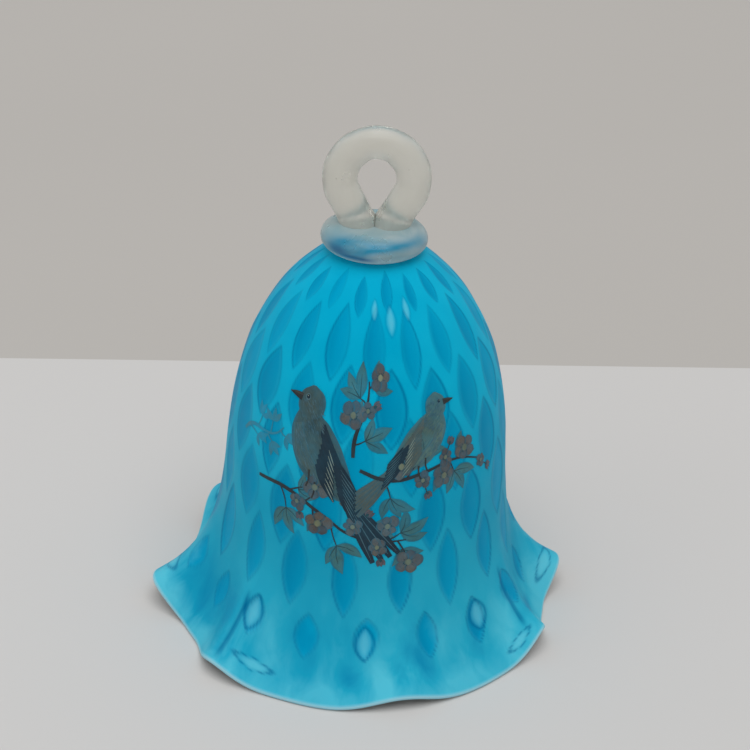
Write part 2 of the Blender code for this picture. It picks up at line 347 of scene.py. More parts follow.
class Nodes:
    """A material's node tree, with short ways to add and join nodes."""

    def __init__(self, name, **sockets):
        self.material = bpy.data.materials.new(name)
        self.material.use_nodes = True
        self.tree = self.material.node_tree
        self.shader = self.tree.nodes["Principled BSDF"]
        for key, value in sockets.items():
            self.shader.inputs[key.replace("_", " ")].default_value = value

    def add(self, kind, inputs=None, **settings):
        node = self.tree.nodes.new(kind)
        for key, value in settings.items():
            setattr(node, key, value)
        for key, value in (inputs or {}).items():
            self.put(node.inputs[key], value)
        return node

    def put(self, socket, value):
        if isinstance(value, bpy.types.NodeSocket):
            self.tree.links.new(value, socket)
        else:
            socket.default_value = value

    def attribute(self, name):
        return self.add("ShaderNodeAttribute", attribute_name=name).outputs["Fac"]

    def position(self):
        return self.add("ShaderNodeTexCoord").outputs["Object"]

    def noise(self, scale, detail=3.0, roughness=0.5, vector=None, distortion=0.0):
        made = self.add("ShaderNodeTexNoise")
        self.put(made.inputs["Vector"], vector or self.position())
        made.inputs["Scale"].default_value = scale
        made.inputs["Detail"].default_value = detail
        made.inputs["Roughness"].default_value = roughness
        made.inputs["Distortion"].default_value = distortion
        return made.outputs["Fac"]

    def stretched(self, scale):
        return self.add("ShaderNodeMapping", {"Vector": self.position(), "Scale": scale}).outputs["Vector"]

    def ramp(self, factor, stops):
        """Colours, in sRGB, at positions along 0..1."""
        made = self.add("ShaderNodeValToRGB", {"Fac": factor})
        for i, (where, colour) in enumerate(stops):
            stop = made.color_ramp.elements[i] if i < 2 else made.color_ramp.elements.new(where)
            stop.position = where
            stop.color = linear(colour)
        return made.outputs["Color"]

    def math(self, operation, a, b=0.0, clamp=False):
        made = self.add("ShaderNodeMath", operation=operation, use_clamp=clamp)
        self.put(made.inputs[0], a)
        self.put(made.inputs[1], b)
        return made.outputs["Value"]

    def times(self, a, b, clamp=False):
        return self.math("MULTIPLY", a, b, clamp)

    def plus(self, a, b, clamp=False):
        return self.math("ADD", a, b, clamp)

    def remap(self, value, low, high, to_low=0.0, to_high=1.0):
        inputs = {"Value": value, "From Min": low, "From Max": high, "To Min": to_low, "To Max": to_high}
        return self.add("ShaderNodeMapRange", inputs).outputs["Result"]

    def mix(self, factor, a, b):
        """A colour between a and b, each a socket or sRGB values. Sockets 6, 7 and output 2 carry colours."""
        made = self.add("ShaderNodeMix", data_type="RGBA")
        self.put(made.inputs[0], factor)
        for place, colour in ((6, a), (7, b)):
            is_socket = isinstance(colour, bpy.types.NodeSocket)
            self.put(made.inputs[place], colour if is_socket else linear(colour))
        return made.outputs[2]

    def bump(self, height, strength, distance):
        """A bump from a 0..1 height whose full step is distance millimetres."""
        inputs = {"Height": height, "Strength": strength, "Distance": distance * MM}
        made = self.add("ShaderNodeBump", inputs)
        self.put(self.shader.inputs["Normal"], made.outputs["Normal"])

    def set(self, socket, value):
        self.put(self.shader.inputs[socket], value)


def satin_glass():
    """Blue cased glass, etched: deeper blue in the ovals, cloudy and paler where the skirt is stretched.

    It also holds painted shade and light on the sides of the ovals, painted highlights with dark outlines on
    the lenses, painted light and shade in the skirt's pale and deep patches, and painted shade along its
    creases.
    """
    m = Nodes("satin_blue_glass", Roughness=0.5, IOR=1.5)
    inside, outline, side = m.attribute("inside"), m.attribute("outline"), m.attribute("side")
    thin, tone, lens_highlight = m.attribute("thin"), m.attribute("tone"), m.attribute("lens_highlight")
    deepest = (0, 104, 152)
    cloud = m.remap(m.noise(24, 3.0, 0.55), 0.3, 0.7)
    high_web = m.mix(cloud, (0, 166, 206), (18, 184, 220))
    low_web = m.mix(cloud, (20, 156, 192), (44, 176, 206))
    web = m.mix(m.attribute("low"), high_web, low_web)
    cell = m.mix(m.attribute("tint"), (0, 144, 188), (0, 160, 203))
    colour = m.mix(m.times(inside, 0.92), web, cell)
    # painted shade on one side of each oval and painted light on the other
    colour = m.mix(m.remap(side, 0.0, 0.6, 0.0, 0.30), colour, (0, 124, 168))
    colour = m.mix(m.remap(side, 0.0, -0.6, 0.0, 0.30), colour, (10, 168, 206))
    # dark outlines of the ovals, partly the optic's line and partly painted shade
    colour = m.mix(m.times(outline, 0.60, clamp=True), colour, deepest)
    flow = m.add("ShaderNodeCombineXYZ", {"X": m.attribute("around"), "Y": m.attribute("down")})
    drift = m.remap(m.noise(1.6, 3.0, 0.55, flow.outputs["Vector"], 0.5), 0.3, 0.7, -0.35, 0.45)
    tone = m.plus(tone, drift)
    # pale and deep patches of the skirt: partly the glass's own clouding, partly painted light on the crests
    # and painted shade in the valleys
    pale = m.times(m.remap(tone, 0.0, 0.9, 0.0, 0.85), thin)
    colour = m.mix(pale, colour, (92, 200, 222))
    deep = m.times(m.remap(tone, 0.0, -0.9, 0.0, 0.85), thin)
    colour = m.mix(deep, colour, (0, 128, 176))
    # painted shade: dark outlines round the lenses and dark lines along the creases
    marks = m.plus(m.times(m.attribute("ring"), 0.7), m.times(m.attribute("crease_shade"), 0.8))
    colour = m.mix(m.times(marks, 1.0, clamp=True), colour, deepest)
    # painted highlights on the lenses of the skirt and shoulder
    colour = m.mix(m.times(lens_highlight, 0.5), colour, (110, 208, 228))
    colour = m.mix(m.times(m.attribute("edge"), 0.7), colour, (182, 226, 236))
    m.set("Base Color", colour)
    m.set("Roughness", m.remap(m.noise(160, 4.0), 0.3, 0.7, 0.44, 0.56))
    m.set("Specular IOR Level", 0.08)
    m.set("Specular Tint", (0.0, 0.62, 1.0, 1.0))
    m.set("Subsurface Weight", 0.15)
    m.set("Subsurface Radius", (0.1, 0.9, 1.0))
    m.set("Subsurface Scale", 0.002)
    m.bump(m.noise(1500, 2.0), 0.08, 0.04)
    return m.material


def opal_lining():
    """The opal white glass inside the body, satin too, with a breath of the blue behind it."""
    m = Nodes("opal_lining", Roughness=0.45, IOR=1.5)
    cloud = m.noise(26, 4.0, 0.6)
    inside = m.attribute("inside")
    colour = m.mix(cloud, (206, 226, 230), (222, 235, 236))
    colour = m.mix(m.times(inside, 0.5), colour, (168, 212, 224))
    m.set("Base Color", colour)
    m.set("Roughness", m.remap(m.noise(140, 3.0), 0.3, 0.7, 0.40, 0.52))
    m.set("Subsurface Weight", 0.15)
    m.set("Subsurface Radius", (1.0, 1.0, 1.0))
    m.set("Subsurface Scale", 0.002)
    m.bump(m.noise(900, 3.0), 0.12, 0.05)
    return m.material


def frosted_crystal():
    """Clear crystal with an etched skin, drawn out in fine lines along the rod and dark at the fused seam."""
    m = Nodes("frosted_crystal", IOR=1.45)
    m.set("Transmission Weight", 0.82)
    m.set("Specular IOR Level", 0.35)
    place = m.add("ShaderNodeCombineXYZ", {"X": m.attribute("turn_x"), "Y": m.attribute("turn_y"),
                                           "Z": m.attribute("run")}).outputs["Vector"]
    lines = m.noise(7.0, 3.0, 0.6, place)
    cloud = m.noise(55, 4.0, 0.6)
    skin = m.mix(cloud, (241, 241, 232), (252, 252, 246))
    skin = m.mix(m.remap(lines, 0.55, 0.70, 0.0, 0.6), skin, (250, 250, 244))
    seam = m.times(m.math("POWER", m.attribute("seam"), 3.0), 0.85)
    m.set("Base Color", m.mix(seam, skin, (92, 84, 62)))
    m.set("Roughness", m.remap(m.noise(120, 4.0), 0.3, 0.7, 0.24, 0.40))
    grain = m.noise(1300, 2.0)
    m.bump(m.plus(m.times(grain, 0.2), lines), 0.30, 0.30)
    return m.material


def crystal_painted_refraction():
    """Frosted crystal with painted refraction: patches of the body's blue as seen through it. Milky where it
    is thin, partly its frost and partly a painted highlight along the lower edge and the sides.
    """
    m = Nodes("crystal_painted_refraction", IOR=1.45)
    m.set("Transmission Weight", 0.50)
    m.set("Specular IOR Level", 0.35)
    refracted_blue, frost_and_highlight, deep = m.attribute("refracted_blue"), m.attribute("frost_and_highlight"), m.attribute("deep")
    sweep = m.noise(70, 3.0, 0.55, m.stretched((0.8, 0.8, 2.6)), 0.8)
    body = m.mix(m.remap(sweep, 0.35, 0.65), (172, 208, 212), (228, 238, 234))
    # painted refraction: the body's blue as seen through the crystal, pale and deep
    torn = m.times(refracted_blue, m.remap(sweep, 0.25, 0.55, 0.55, 1.0), clamp=True)
    colour = m.mix(torn, body, (44, 168, 206))
    colour = m.mix(m.times(deep, m.remap(sweep, 0.3, 0.6, 0.6, 1.0)), colour, (0, 104, 166))
    # white along the lower edge and sides: partly frost, partly a painted highlight
    colour = m.mix(frost_and_highlight, colour, (246, 249, 244))
    m.set("Base Color", colour)
    m.set("Roughness", m.remap(m.noise(120, 4.0), 0.3, 0.7, 0.24, 0.42))
    m.bump(m.plus(m.times(m.noise(1300, 2.0), 0.3), sweep), 0.25, 0.30)
    return m.material


def paint(name, dark, light, edge, streak, through, border):
    """Fired enamel: two tones clouded together, streaks along the stroke, and an edge of its own colour.

    streak, through and border are how strongly the streaks, the glass below and the edge show.
    """
    m = Nodes(name)
    along, across, tone = m.attribute("along"), m.attribute("across"), m.attribute("tone")
    mottle = m.noise(340, 5.0, 0.65)
    blend = m.plus(m.times(tone, 0.5), m.remap(mottle, 0.25, 0.75, 0.0, 0.5), clamp=True)
    colour = m.mix(blend, dark, light)
    if streak:
        place = m.add("ShaderNodeCombineXYZ", {"X": m.times(across, 5.0), "Y": along})
        hair = m.noise(5.0, 3.0, 0.6, place.outputs["Vector"], 0.4)
        colour = m.mix(m.remap(hair, 0.42, 0.62, 0.0, streak), colour, edge)
    rim = m.math("ABSOLUTE", across)
    colour = m.mix(m.remap(rim, 0.55, 1.0, 0.0, border), colour, edge)
    if through:
        worn = m.remap(m.noise(120, 4.0, 0.65), 0.34, 0.68, through * 0.4, min(0.9, through * 1.6))
        worn = m.plus(worn, m.remap(rim, 0.75, 1.0, 0.0, through), clamp=True)
        colour = m.mix(worn, colour, (8, 146, 184))
    m.set("Base Color", colour)
    m.set("Roughness", m.remap(mottle, 0.3, 0.7, 0.40, 0.52))
    m.set("Specular IOR Level", 0.25)
    m.bump(mottle, 0.15, 0.03)
    return m.material


def wire_metal():
    """Nickel-plated wire with drawing marks and light tarnish."""
    m = Nodes("nickel_wire", Metallic=1.0)
    tarnish = m.noise(260, 4.0, 0.6)
    m.set("Base Color", m.ramp(tarnish, [(0.3, (158, 152, 140)), (0.65, (206, 204, 198))]))
    m.set("Roughness", m.remap(m.noise(700, 3.0), 0.3, 0.7, 0.18, 0.38))
    m.bump(m.noise(900, 2.0, 0.5, m.stretched((1.0, 1.0, 0.15))), 0.12, 0.05)
    return m.material


def cement():
    """Off-white cement, trowelled while soft and a little stained."""
    m = Nodes("white_cement", Roughness=0.85)
    stain = m.noise(90, 5.0, 0.65)
    m.set("Base Color", m.ramp(stain, [(0.3, (188, 182, 166)), (0.7, (224, 220, 208))]))
    m.set("Roughness", m.remap(stain, 0.3, 0.7, 0.78, 0.95))
    m.bump(m.noise(500, 5.0, 0.7), 0.5, 0.25)
    return m.material


def bead_glass():
    """Clear pressed glass with faint seeds and a slight green."""
    m = Nodes("bead_glass", IOR=1.5)
    m.set("Transmission Weight", 1.0)
    m.set("Base Color", m.mix(m.noise(120, 3.0), (226, 242, 240), (246, 252, 251)))
    m.set("Roughness", m.remap(m.noise(240, 3.0), 0.3, 0.7, 0.02, 0.09))
    m.bump(m.noise(90, 2.0), 0.08, 0.2)
    return m.material


def finish(obj, *materials):
    """Gives an object its materials, in slot order."""
    for made in materials:
        obj.data.materials.append(made)
    return obj


# ---------------------------------------------------------------- glass body


BODY_COLUMNS, BODY_ROWS = 480, 236  # of the outside; the lining has a quarter of the rows


def build_body():
    """One closed shell: outside with its optic, a rounded rim, and the opal inside."""
    around = BODY_COLUMNS
    azimuth = np.linspace(-180, 180, around, endpoint=False)
    rows = np.linspace(0, SKIRT_ARC - RIM_WALL / 2, BODY_ROWS)
    a, s = np.meshgrid(azimuth, rows)
    outside = body_point(a, s)
    inside, outline, _, tint, side = optic(a, s)
    height = np.interp(s, ARC, FINE[:, 1])
    lift = crimp_at(a)[0]
    thin = np.clip((34 - height) / 26, 0, 1) * (0.7 + 0.3 * np.clip(lift / 5, 0, 1))
    edge = np.clip(1 - (SKIRT_ARC - s) / 1.6, 0, 1)
    # painted highlights and outlines of the lenses; the skirt's patches, partly painted light and shade;
    # painted shade in the creases
    lens_highlight, ring = lit(a, s)
    tone, crease_shade = cloudiness_and_shade(a, s)

    inner_rows = rows[::-4]
    a2, s2 = np.meshgrid(azimuth, inner_rows)
    wall = RIM_WALL + (WALL - RIM_WALL) * np.clip(np.interp(s2, ARC, FINE[:, 1]) / RUFFLE_TOP_Z, 0, 1)
    inner = smooth_body(a2, s2) - body_normal(a2, s2) * wall[..., None]

    edge_out, edge_in = outside[-1], inner[0]
    middle = (edge_out + edge_in) / 2
    across = (edge_out - edge_in) / 2
    low = np.full(around, SKIRT_ARC)
    down = smooth_body(azimuth, low) - smooth_body(azimuth, low - 1)
    down /= np.linalg.norm(down, axis=1, keepdims=True)
    turns = np.radians(np.linspace(0, 180, 8)[1:-1])
    reach = np.linalg.norm(across, axis=1, keepdims=True)
    lip = np.array([middle + across * math.cos(t) + down * reach * math.sin(t) for t in turns])

    crown = [outside[0] * (share, share, 0) + np.array((0, 0, CROWN_Z)) for share in (0.02, 0.5, 0.97)]
    under_z = CROWN_Z - WALL
    under = [inner[-1] * (share, share, 0) + np.array((0, 0, under_z)) for share in (0.97, 0.5, 0.02)]
    points = np.concatenate([np.array(crown), outside, lip, inner, np.array(under)])
    points[..., 2] = np.maximum(points[..., 2], 0.0)
    count = len(points)
    verts = points.reshape(-1, 3)
    faces = grid_faces(count, around, True)
    faces.append(list(range(around))[::-1])
    faces.append([(count - 1) * around + k for k in range(around)])

    def filled(values, lip_value=0.0, inner_value=0.0):
        """Values of the outside's points, with what the rim and the lining get."""
        head = np.zeros((3, around))
        lips = np.full((len(lip), around), lip_value)
        tail = np.full((len(inner) + 3, around), inner_value)
        return np.concatenate([head, values, lips, tail])

    plain = {"inside": inside, "outline": outline, "side": side, "lens_highlight": lens_highlight, "ring": ring, "tone": tone,
             "crease_shade": crease_shade, "around": a / 11.0, "down": s / 22.0}
    attributes = {key: filled(values) for key, values in plain.items()}
    start = 3 + len(rows) + len(lip)
    attributes["inside"][start : start + len(inner)] = optic(a2, s2)[0]
    attributes["tint"] = filled(tint, 0.5, 0.5)
    attributes["thin"] = filled(thin, 1.0)
    attributes["low"] = filled(np.clip((95 - height) / 55, 0, 1), 1.0)
    attributes["edge"] = filled(edge, 1.0)
    obj = new_object("glass_body", verts, faces, attributes)
    finish(obj, satin_glass(), opal_lining())
    first_opal = (start - len(lip) // 2) * around
    slots = np.zeros(len(obj.data.polygons), np.int32)
    slots[first_opal:-2] = 1
    slots[-1] = 1
    obj.data.polygons.foreach_set("material_index", slots)
    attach(obj, "bell")
    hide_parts("bell_body")
    return obj


# ---------------------------------------------------------------- painted decoration

DRAW = 0.80  # millimetres across the drawing for each degree round the body
FILM = 0.04  # how far the enamel's first coat stands off the glass


class Painting:
    """Enamel strokes of one colour, laid on the body one coat over another."""

    def __init__(self, name, material):
        self.name, self.material = name, material
        self.verts, self.faces = [], []
        self.along, self.across, self.tone = [], [], []
        self.count = 0

    def stroke(self, spine, halves, coat=0, tone=0.5):
        """One stroke along (azimuth, height) points, with half widths in mm spread along it."""
        line = np.array(spine, float) * (DRAW, 1)
        length = np.linalg.norm(np.diff(line, axis=0), axis=1).sum()
        steps = max(7, int(length / 0.45))
        line = catmull(line, steps)
        half = np.clip(catmull([(h, 0) for h in halves], steps)[:, 0], 0.02, None)
        way = np.gradient(line, axis=0)
        way /= np.linalg.norm(way, axis=1, keepdims=True) + 1e-9
        normal = np.stack([-way[:, 1], way[:, 0]], -1)
        wide = max(3, int(2 * max(half) / 0.5) | 1)
        share = np.linspace(-1, 1, wide)
        flat = line[:, None] + normal[:, None] * (half[:, None] * share)[..., None]
        coat_lift = FILM + 0.03 * coat + 0.0007 * (self.count % 20)
        azimuth, arc = flat[..., 0] / DRAW, arc_at_height(flat[..., 1])
        first = sum(len(v) for v in self.verts)
        self.verts.append(body_point(azimuth, arc, coat_lift).reshape(-1, 3))
        self.faces += grid_faces(steps, wide, False, first)
        self.along.append(np.repeat(np.linspace(0, 1, steps), wide) + self.count * 3.7)
        self.across.append(np.tile(share, steps))
        self.tone.append(np.full(steps * wide, tone))
        self.count += 1

    def leaf(self, root, turn, length, half, coat=0, tone=0.5, bend=0.12):
        """A leaf or petal from its root, turned from +X in degrees, with a slight bend."""
        a = math.radians(turn)
        out = np.array([math.cos(a), math.sin(a)])
        side = np.array([-out[1], out[0]])
        points = []
        for t in (0.0, 0.3, 0.65, 1.0):
            point = out * length * t + side * length * bend * math.sin(math.pi * t)
            points.append((root[0] + point[0] / DRAW, root[1] + point[1]))
        self.stroke(points, [0.1 * half, 0.95 * half, 0.85 * half, 0.04 * half], coat, tone)
        return points

    def spot(self, centre, radius, coat=0, tone=0.5, tall=1.0):
        """A round or oval dab."""
        r = radius * tall
        points = [(centre[0], centre[1] + r * t) for t in (1.0, 0.6, 0.0, -0.6, -1.0)]
        self.stroke(points, [0.12 * radius, 0.8 * radius, radius, 0.8 * radius, 0.12 * radius], coat, tone)

    def done(self):
        attributes = {
            "along": np.concatenate(self.along),
            "across": np.concatenate(self.across),
            "tone": np.concatenate(self.tone),
        }
        obj = new_object(self.name, np.concatenate(self.verts), self.faces, attributes)
        finish(obj, self.material)
        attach(obj, "bell")
        return obj


def between(a, b, share):
    return (a[0] + (b[0] - a[0]) * share, a[1] + (b[1] - a[1]) * share)


def reach(root, turn, length):
    """The point a length in mm from a root, turned from +X in degrees."""
    a = math.radians(turn)
    return (root[0] + length * math.cos(a) / DRAW, root[1] + length * math.sin(a))


# Branches of the pattern: start and end as (azimuth, height), bow in mm, side twigs, their length in mm,
# and whether the enamel is worn thin there.
BRANCHES = [
    ((-46, 65), (17, 52), 2.8, 11, 8.5, False),
    ((-2, 76), (51, 73), -2.4, 9, 7.5, False),
    ((-5, 80), (0, 103), 0.8, 5, 5.0, False),
    ((-60, 76), (-36, 84), 1.6, 5, 5.0, True),
]


def paint_branches(pots, chance):
    """Bowed branches with side twigs left and right in turn, ending in leaves, a blossom or buds in turn."""
    bark = pots["bark"]
    for start, end, bow, count, twig, worn in BRANCHES:
        rise = end[1] - start[1]
        heading = math.degrees(math.atan2(rise, (end[0] - start[0]) * DRAW))
        line = []
        for step in range(7):
            share = step / 6
            point = between(start, end, share)
            line.append(reach(point, heading + 90, bow * math.sin(2 * math.pi * share)))
        pot = pots["faint"] if worn else bark
        pot.stroke(line, [0.55, 0.65, 0.6, 0.5, 0.42, 0.34, 0.2], 3)
        for k in range(count):
            knot = 1 + (5 * k) // count
            root = between(line[knot], line[min(knot + 1, 6)], (k * 0.37) % 1)
            turn = heading + (52 if k % 2 else -52) + chance.uniform(-16, 16)
            tip = reach(root, turn, twig * chance.uniform(0.55, 1.2))
            middle = reach(between(root, tip, 0.5), turn + 90, chance.uniform(-0.6, 0.6))
            pot.stroke([root, middle, tip], [0.28, 0.22, 0.14], 2, 0.6)
            if worn:
                paint_leaves(pots, chance, tip, turn, 5.0, True)
            elif k % 3 == 0:
                paint_leaves(pots, chance, tip, turn, 9.4)
            elif k % 3 == 1:
                paint_blossom(pots, chance, tip, chance.uniform(3.9, 5.0))
                paint_leaves(pots, chance, between(root, tip, 0.4), turn, 7.0)
            else:
                paint_bud(pots, tip, turn, 2.6)
                paint_blossom(pots, chance, between(root, tip, 0.35), chance.uniform(2.6, 3.4))


def paint_leaves(pots, chance, root, turn, length, worn=False):
    """Three leaves from one point, each with its midrib."""
    for spread in (-48, 0, 44):
        long = length * chance.uniform(0.75, 1.1)
        pot = pots["faint" if worn else "leaf"]
        way = turn + spread + chance.uniform(-10, 10)
        tone, bend = chance.uniform(0.1, 1.0), chance.uniform(-0.14, 0.14)
        points = pot.leaf(root, way, long, 0.22 * long, 1, tone, bend)
        if not worn:
            pots["rib"].stroke(points[:3], [0.16, 0.12, 0.05], 2)


def paint_blossom(pots, chance, centre, size):
    """A five-petalled blossom with its heart."""
    first = chance.uniform(0, 72)
    for k in range(5):
        long = size * chance.uniform(0.78, 1.08)
        middle = reach(centre, first + 72 * k + chance.uniform(-10, 10), 0.56 * long)
        pots["petal"].spot(middle, 0.46 * long, 3 + (k % 2), chance.uniform(0, 1), chance.uniform(0.85, 1.12))
        tip = reach(centre, first + 36 + 72 * k, 0.5 * size)
        pots["rib"].stroke([centre, between(centre, tip, 0.5), tip], [0.07, 0.06, 0.05], 5)
    pots["heart"].spot(centre, 0.24 * size, 6, chance.uniform(0, 0.9))
    for _ in range(6):
        pots["rib"].spot(reach(centre, chance.uniform(0, 360), 0.3 * size), 0.16, 7, chance.uniform(0, 1))


def paint_bud(pots, root, turn, size):
    """A closed bud in its cup."""
    for spread, tone in ((-24, 0.2), (24, 0.9), (0, 0.5)):
        pots["bud"].leaf(root, turn + spread, size * 1.1, size * 0.34, 3 + (spread == 0), tone, 0.02)
    pots["rib"].leaf(root, turn, size * 0.5, size * 0.2, 5)


def barbs(pot, chance, spine, halves, count, turn, coat, length=2.2, half=0.15, tones=(0.0, 1.2)):
    """Fine strokes scattered over a shape given by its spine and half widths, all lying about one way."""
    line = catmull(np.array(spine, float) * (DRAW, 1), 40)
    wide = catmull([(h, 0) for h in halves], 40)[:, 0]
    for _ in range(count):
        k = chance.randrange(40)
        way = line[min(k + 1, 39)] - line[max(k - 1, 0)]
        way /= np.linalg.norm(way)
        off = chance.uniform(-0.86, 0.86) * wide[k]
        root = ((line[k][0] - way[1] * off) / DRAW, line[k][1] + way[0] * off)
        tip = reach(root, turn + chance.uniform(-14, 14), length * chance.uniform(0.6, 1.2))
        bow = between(root, tip, 0.5)
        bow = (bow[0] + chance.uniform(-0.25, 0.25), bow[1] + chance.uniform(-0.2, 0.2))
        pot.stroke([root, bow, tip], [0.5 * half, half, 0.2 * half], coat, chance.uniform(*tones))


def paint_bird(pots, chance, at, facing, lean, size, coat, wing):
    """A plain songbird in profile, the same drawing each time, its middle at (azimuth, height).

    Points are in mm from its middle before it is sized: x towards the beak, y towards the back.
    Facing is 1 for right and -1 for left; lean is how far the beak end is raised, in degrees.
    """
    dark, slate, pale, beak = pots["dark"], pots["slate"], pots["pale"], pots["beak"]
    coat, wing = pots[coat], pots[wing]
    c, s = math.cos(math.radians(lean)), math.sin(math.radians(lean))

    def on(x, y):
        return (at[0] + facing * size * (c * x - s * y) / DRAW, at[1] + size * (s * x + c * y))

    def face(x, y):  # mm from the middle of the head, which is held more level than the body
        a = math.radians(-0.75 * lean)
        return (15.6 + x * math.cos(a) - y * math.sin(a), 2.4 + x * math.sin(a) + y * math.cos(a))

    def stroke(pot, points, halves, layer, tone):
        pot.stroke([on(x, y) for x, y in points], [size * h for h in halves], layer, tone)

    def fluff(pot, points, halves, count, layer, long=2.2, fine=0.15, tones=(0.0, 1.2)):
        back = 180 + lean if facing > 0 else -lean
        barbs(pot, chance, [on(x, y) for x, y in points], [size * h for h in halves], count, back, layer,
              size * long, fine, tones)

    def feather(pot, root, tip, middle, halves, layer, tone):
        stroke(pot, [root, between(root, tip, middle), tip], halves, layer, tone)

    def line(pot, root, tip, shares, half, layer, tone):
        stroke(pot, [between(root, tip, share) for share in shares], half, layer, tone)

    for i in range(4):  # tail
        root, tip = (-12, 0.8 - 0.4 * i), (-37.6 + 0.5 * i, 4.0 - 2.6 * i)
        feather(wing, root, tip, 0.5, [0.7, 1.15, 1.35, 0.7], 3, chance.uniform(0.1, 0.7))
        line(slate, root, tip, (0.3, 0.65, 0.95), [0.05, 0.14, 0.05], 5, chance.uniform(0, 0.5))
    body, body_half = [(15, 1), (9, -1), (0, -1.6), (-8, -0.6), (-16, 1)], [3.0, 6.6, 7.6, 5.4, 1.4]
    belly, belly_half = [(12, -4.2), (3, -6.2), (-8, -4.0)], [1.6, 2.4, 1.0]
    nape, nape_half = [(17, 3.0), (13, 1.4), (8, 0)], [3.6, 4.4, 3.4]
    stroke(coat, body, body_half, 2, 0.3)
    stroke(coat, belly, belly_half, 3, 0.9)
    coat.spot(on(15.6, 2.4), 4.9 * size, 4, 0.2)
    fluff(coat, body, body_half, 130, 4)
    fluff(slate, belly, belly_half, 45, 5, 2.6, 0.13, (0.3, 1.0))
    fluff(slate, nape, nape_half, 80, 6, 1.6, 0.12, (0.0, 0.8))
    for i in range(6):  # shoulder
        x, y = 8.5 - 2.0 * i, 4.2 - 0.1 * i
        short = [(x, y), (x - 2.8, y - 1.2), (x - 5.6, y - 1.6)]
        stroke(wing, short, [0.4, 1.3, 0.2], 5, chance.uniform(0.1, 0.8))
    for i in range(7):  # coverts, each with a paler edge
        root, tip = (6.0 - 1.2 * i, 3.2 - 1.1 * i), (-3.5 - 1.7 * i, 1.6 - 0.95 * i)
        feather(wing, root, tip, 0.5, [0.5, 1.1, 1.0, 0.2], 6, chance.uniform(0, 0.6))
        line(pale, root, tip, (0.5, 0.78, 1.0), [0.04, 0.15, 0.05], 7, chance.uniform(0, 0.7))
    for i in range(8):  # flight feathers
        root, tip = (-1.0 - 1.5 * i, 2.6 - 0.5 * i), (-13.5 - 1.2 * i, 3.6 - 0.75 * i)
        feather(dark, root, tip, 0.55, [0.7, 1.0, 0.8, 0.2], 5 + 0.1 * i, chance.uniform(0, 0.6))
        line(slate, root, tip, (0.35, 0.7, 0.96), [0.04, 0.11, 0.04], 7, chance.uniform(0.2, 1.0))
    for height, tone in ((0.35, 0.5), (-0.35, 0.0)):  # beak
        points = [face(3.8, height), face(6.2, height - 0.2), face(8.8, -0.6)]
        stroke(beak, points, [0.75, 0.45, 0.05], 6, tone)
    slate.spot(on(*face(1.9, 1.1)), 0.95 * size, 7, 1.0)
    dark.spot(on(*face(1.9, 1.1)), 0.66 * size, 8, 0.0)
    pale.spot(on(*face(2.1, 1.3)), 0.16 * size, 9, 1.0)
    for foot in (-2, -6):
        leg = on(foot, -6.4)
        beak.stroke([leg, (leg[0], leg[1] - 3 * size), (leg[0] + 0.8 * facing, leg[1] - 5.4 * size)],
                    [0.3, 0.24, 0.26], 5, 0.2)


def build_decoration():
    """A plain pattern of two songbirds and blossoming twigs round the front of the body.

    Each colour has its piece's name, its darker and lighter tone and its edge's in sRGB, and how strongly
    its streaks, the glass below and its edge show.
    """
    mixes = {
        "leaf": ("leaves", (40, 84, 88), (86, 122, 108), (24, 56, 62), 0.5, 0.30, 0.7),
        "faint": ("faint_sprigs", (40, 112, 130), (74, 122, 126), (32, 96, 116), 0.3, 0.60, 0.5),
        "rib": ("ribs", (30, 52, 56), (44, 66, 64), (26, 46, 50), 0.0, 0.10, 0.3),
        "bark": ("twigs", (22, 28, 34), (64, 58, 54), (18, 22, 28), 0.6, 0.05, 0.5),
        "petal": ("petals", (66, 46, 42), (120, 98, 66), (40, 28, 28), 0.5, 0.22, 0.75),
        "heart": ("blossom_hearts", (84, 88, 60), (140, 140, 104), (56, 52, 40), 0.0, 0.15, 0.6),
        "bud": ("buds", (70, 42, 44), (128, 102, 90), (46, 28, 32), 0.5, 0.15, 0.75),
        "grey": ("plumage_grey", (46, 60, 58), (88, 102, 90), (34, 46, 48), 0.35, 0.16, 0.20),
        "slate": ("plumage_slate", (50, 80, 94), (98, 124, 128), (38, 60, 74), 0.3, 0.12, 0.15),
        "dark": ("plumage_dark", (14, 28, 42), (40, 60, 74), (8, 16, 24), 0.5, 0.05, 0.45),
        "pale": ("plumage_pale", (112, 130, 122), (166, 176, 156), (84, 100, 98), 0.3, 0.10, 0.20),
        "olive": ("plumage_olive", (60, 90, 86), (110, 128, 108), (42, 64, 68), 0.35, 0.18, 0.20),
        "tail": ("plumage_tan", (70, 80, 72), (112, 112, 92), (46, 52, 50), 0.5, 0.15, 0.45),
        "beak": ("beaks_and_legs", (28, 34, 40), (84, 88, 84), (20, 22, 28), 0.3, 0.0, 0.5),
    }
    pots = {}
    for key, (name, *look) in mixes.items():
        pots[key] = Painting(f"painted_{name}", paint(f"enamel_{key}", *look))
    chance = random.Random(11)
    paint_branches(pots, chance)
    paint_bird(pots, chance, (-16.5, 79), -1, 58, 1.06, "grey", "dark")
    paint_bird(pots, chance, (21, 84), 1, 46, 0.82, "olive", "tail")
    for pot in pots.values():
        pot.done()


# ---------------------------------------------------------------- crystal collar and handle

HANDLE_X = -0.9
COLLAR_R, COLLAR_LOW, COLLAR_TOP = 16.8, 130.2, 138.9
ROD_R, LOOP_R, LOOP_Z, LEG_LEAN = 5.4, 11.35, 153.25, 29.0


COLLAR_CORE_R = 10.5  # where the collar's flat top ends and its blunt edge begins

